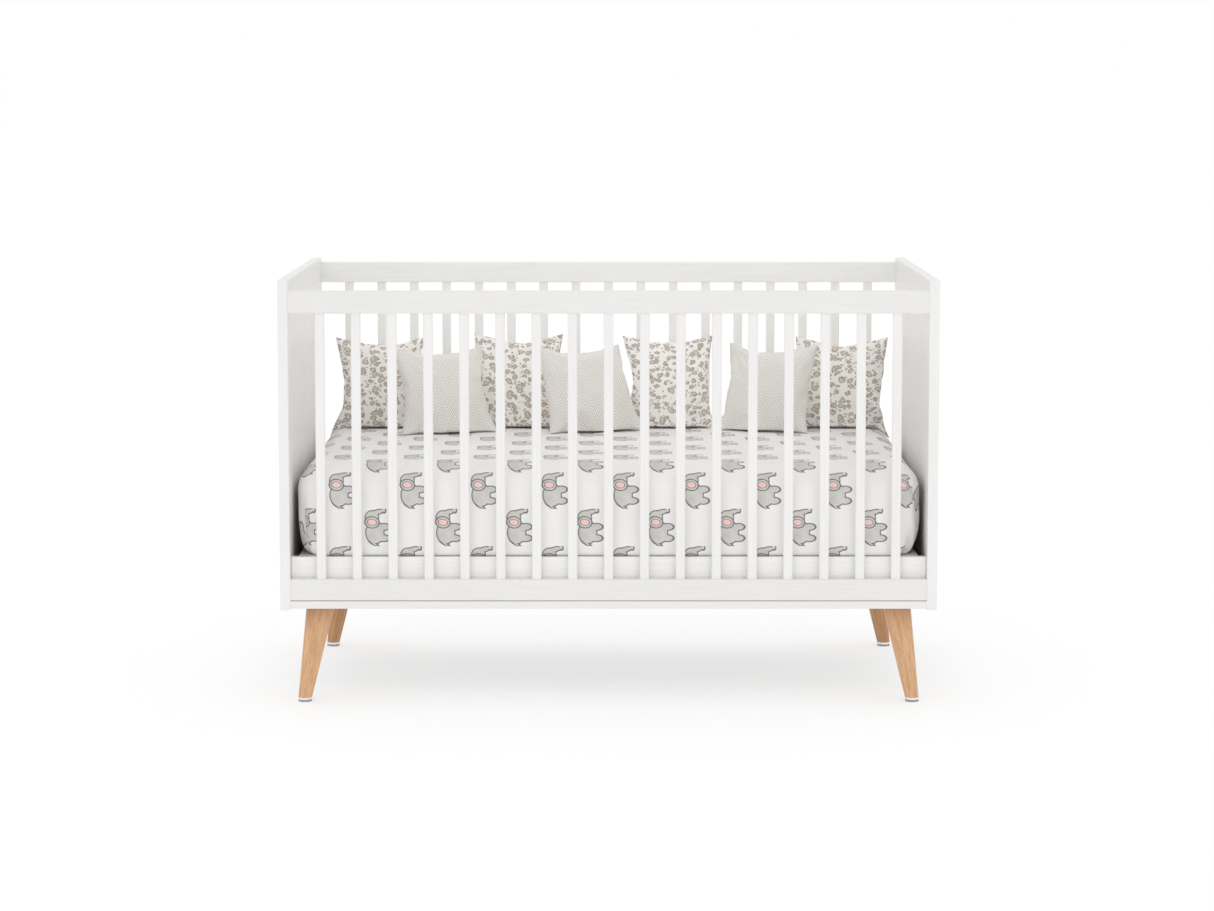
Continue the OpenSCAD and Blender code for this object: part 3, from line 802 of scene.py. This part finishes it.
# Each cushion from the left: width and height in millimetres, turn about Z and sideways lean in degrees,
# how much wider it is below than above, how far its sides are pulled in between the corners, how far its
# lower corner on one side hangs over the mattress's end, and whether it is a spotted one.
CUSHIONS = [
    (206, 204, 3, -1, 0.03, 0.04, -1.15, True),
    (212, 192, 17, -7, 0.03, 0.02, 0, False),
    (208, 212, -2, 1, 0.02, 0.03, 0, True),
    (206, 194, 17, -12, 0.15, -0.03, 0, False),
    (208, 208, -2, -1, 0.02, 0.04, 0, True),
    (208, 196, -17, 7, 0.0, 0.01, 0, False),
    (212, 205, -3, 1, 0.0, 0.0, 0.75, True),
]
CUSHION_THICKNESS = 74 * MM
CUSHION_GRID = 40               # squares along each side of a cushion's faces
CUSHION_EASE = 1.05             # the cloth's flat size over the filled cushion's
CUSHION_FRAMES = 22
CUSHION_PRESSURE = 4.0
CUSHION_CREASE = 0.85           # how sharp its seam stays
CUSHION_SINK = 2 * MM           # how far it stands into the mattress before its underside is pressed flat
CUSHION_GAIN = 14 * MM          # the height that settling, sinking and the dip of its top take away again
CUSHION_SETTLE = 1.25           # how much of the lower edge's curve the cushion's weight takes out
CUSHION_DIP = 0.07              # how far the top is pulled in between the corners
CUSHION_TAPER = 0.22            # how much thinner it is at the top than at the bottom
CUSHION_LIFT = 3.2 * MM         # of the underside above the mattress, in front of the seam it rests on
CUSHION_PRESS = 5 * MM          # the height over which the underside is pressed flat
CUSHION_DROOP = 23 * MM         # the most that a lower corner hangs down past the mattress's edge
CUSHION_FLAP = 9 * MM           # how far a corner that hangs over the mattress's end reaches out
CUSHION_TOES = (5 * MM, 13 * MM)        # how far the lower corners lie out to the side and to the front
TOE_START = 0.65                # where those corners begin, as a share of half the width
TOE_TOP = 0.26                  # and how far up they reach, as a share of the height
TOE_SHARPEN = 0.19              # how much less where the right one hangs over


def flat_cushion(name, width, height, seed):
    """Two square faces joined all round, a few millimetres apart in the middle."""
    bm = bmesh.new()
    uv = bm.loops.layers.uv.new("cloth")
    last = CUSHION_GRID
    points = {}

    def vertex(i, j, side):
        on_edge = i in (0, last) or j in (0, last)
        key = (i, j, 0 if on_edge else side)
        if key not in points:
            u, v = 2 * i / last - 1, 2 * j / last - 1
            rise = 3 * MM * (1 - u * u) * (1 - v * v)
            ripple = noise.noise(Vector((3 * u + seed, 3 * v, seed * 1.7 + side))) * 1.2 * MM
            y = 0 if on_edge else side * (rise + abs(ripple) + 0.5 * MM)
            points[key] = bm.verts.new((u * width / 2, y, v * height / 2))
        return points[key]

    for side in (-1, 1):
        for i in range(last):
            for j in range(last):
                corners = [(i, j), (i + 1, j), (i + 1, j + 1), (i, j + 1)]
                if side > 0:
                    corners.reverse()
                face = bm.faces.new([vertex(a, b, side) for a, b in corners])
                face.smooth = True
                for loop, (a, b) in zip(face.loops, corners):
                    loop[uv].uv = ((a / last - 0.5) * width, (b / last - 0.5) * height)
    crease = bm.edges.layers.float.new("crease_edge")
    for i in range(last):
        for end in (0, last):
            for pair in (((i, end), (i + 1, end)), ((end, i), (end, i + 1))):
                edge = bm.edges.get([vertex(a, b, 0) for a, b in pair])
                edge[crease] = CUSHION_CREASE
    mesh = bpy.data.meshes.new(name)
    bm.to_mesh(mesh)
    bm.free()
    cushion = bpy.data.objects.new(name, mesh)
    scene.collection.objects.link(cushion)
    return cushion


def add_filling(cushion):
    """Cloth that air pressure blows up from the inside."""
    cloth = cushion.modifiers.new("filling", "CLOTH")
    settings = cloth.settings
    settings.quality = 6
    settings.mass = 0.3
    settings.air_damping = 1.0
    settings.tension_stiffness = 40
    settings.compression_stiffness = 20
    settings.shear_stiffness = 8
    settings.bending_stiffness = 0.15
    settings.tension_damping = 15
    settings.shear_damping = 15
    settings.use_pressure = True
    settings.uniform_pressure_force = CUSHION_PRESSURE
    settings.effector_weights.gravity = 0
    cloth.collision_settings.use_collision = False
    cloth.point_cache.frame_start = 1
    cloth.point_cache.frame_end = CUSHION_FRAMES
    return cloth


def run_filling(cushions):
    """Runs the simulation of all cushions together and keeps the last frame's shape in their meshes."""
    for frame_number in range(1, CUSHION_FRAMES + 1):
        scene.frame_set(frame_number)
    graph = bpy.context.evaluated_depsgraph_get()
    for cushion in cushions:
        filled = bpy.data.meshes.new_from_object(cushion.evaluated_get(graph))
        cushion.modifiers.clear()
        for vertex, moved in zip(cushion.data.vertices, filled.vertices):
            vertex.co = moved.co
        bpy.data.meshes.remove(filled)
    scene.frame_set(1)


def scaled_to(points, sizes):
    """The points with their middle moved to the origin, scaled to those sizes."""
    columns = []
    for axis, size in enumerate(sizes):
        places = [p[axis] for p in points]
        low, high = min(places), max(places)
        columns.append([(place - (low + high) / 2) * size / (high - low) for place in places])
    return [Vector(p) for p in zip(*columns)]


def seam_rise(points, lower_seam):
    """How high the lower seam stands above its lowest point, as a function of x."""
    seam = sorted((points[i].x, points[i].z) for i in lower_seam)
    lowest = min(z for _, z in seam)

    def rise(x):
        for (x0, z0), (x1, z1) in zip(seam, seam[1:]):
            if x0 <= x <= x1:
                return z0 + (z1 - z0) * (x - x0) / max(x1 - x0, 1e-9) - lowest
        return 0.0
    return rise


SHEET_LEVEL = [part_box("fitted_sheet")[1][axis] + SHEET_BULGE[axis] - SHEET_RADIUS for axis in (0, 1)]


def mattress_drop(place):
    """How far the sheet's upper face, level as far out as SHEET_LEVEL, has rounded down at that place."""
    past = [max(abs(place[axis]) - SHEET_LEVEL[axis], 0.0) for axis in (0, 1)]
    past = min(math.hypot(*past), 0.9 * SHEET_RADIUS)
    return SHEET_RADIUS - math.sqrt(SHEET_RADIUS ** 2 - past ** 2)


def rest_cushion(cushion, lower_seam, name, width, height, turn, lean, spread, pinch, hanging):
    """Scales the filled cushion to its CAD solid, slumps it and stands it in its place."""
    low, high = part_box(name)
    foot = Vector(((low.x + high.x) / 2, (low.y + high.y) / 2, low.z))
    spin = Matrix.Rotation(math.radians(turn), 3, "Z")
    slope = math.tan(math.radians(lean))
    vertices = cushion.data.vertices
    points = scaled_to([vertex.co for vertex in vertices], (width, CUSHION_THICKNESS, height + CUSHION_GAIN))
    rise = seam_rise(points, lower_seam)
    toe_top = TOE_TOP - TOE_SHARPEN * max(hanging, 0)
    for vertex, p in zip(vertices, points):
        across, up = 2 * p.x / width, 2 * p.z / height
        level = up / 2 + 0.5
        p.z -= CUSHION_SETTLE * rise(p.x) * (1 - level) ** 2
        p.x *= (1 - pinch * (1 - min(up * up, 1))) * (1 + spread * (0.5 - level))
        p.z *= 1 - CUSHION_DIP * (1 - min(across * across, 1)) * smooth_step(level, 0.3, 1.0)
        toe = smooth_step(abs(across), TOE_START, 1.0) * (1 - smooth_step(level, 0.0, toe_top))
        flap = max(hanging * across, 0.0) * CUSHION_FLAP * hanging
        p.x += toe * (math.copysign(CUSHION_TOES[0], across) + flap)
        p.y *= 1.0 - CUSHION_TAPER * (level - 0.35)
        p.z += height / 2 - CUSHION_SINK
        lift = CUSHION_LIFT * smooth_step(-p.y, 1 * MM, 8 * MM) * (1 - 0.7 * toe) + 0.1 * MM
        pressed = lift + CUSHION_PRESS
        if p.z < pressed:
            p.z = lift + CUSHION_PRESS * math.exp((p.z - pressed) / CUSHION_PRESS)
        p.y -= toe * CUSHION_TOES[1]
        p.x += slope * (p.z - height / 2)
        place = spin @ p + foot
        below = 1 - min(max(level, 0.0), 1.0)
        place.z -= min(mattress_drop(place), CUSHION_DROOP) * below ** 2
        vertex.co = place


def make_cushions():
    """Makes the covers flat, fills them all together, and stands each in its place."""
    made, lower_seams = [], []
    for index, (width, height, *_, spotted) in enumerate(CUSHIONS, start=1):
        width, height = CUSHION_EASE * width * MM, CUSHION_EASE * height * MM
        cushion = flat_cushion(f"cushion_{index}_cover", width, height, index)
        fabric = spotted_fabric if spotted else woven_fabric
        cushion.data.materials.append(fabric(index, width / 2, height / 2))
        made.append(cushion)
        vertices = cushion.data.vertices
        lower_seams.append([v.index for v in vertices if abs(v.co.z + height / 2) < 0.01 * MM])
        add_filling(cushion)
    run_filling(made)
    for index, (width, height, *stance, spotted) in enumerate(CUSHIONS, start=1):
        name = f"cushion_{index}"
        cushion = made[index - 1]
        rest_cushion(cushion, lower_seams[index - 1], name, width * MM, height * MM, *stance)
        cushion.modifiers.new("round", "SUBSURF").render_levels = 1
        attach(cushion, name)
        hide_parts(name)


# ---- the scene ----

scene.view_settings.view_transform = "Standard"
make_camera()
make_floor()
make_lights()
dress_frame()
make_mattress()
make_sheet()
make_cushions()
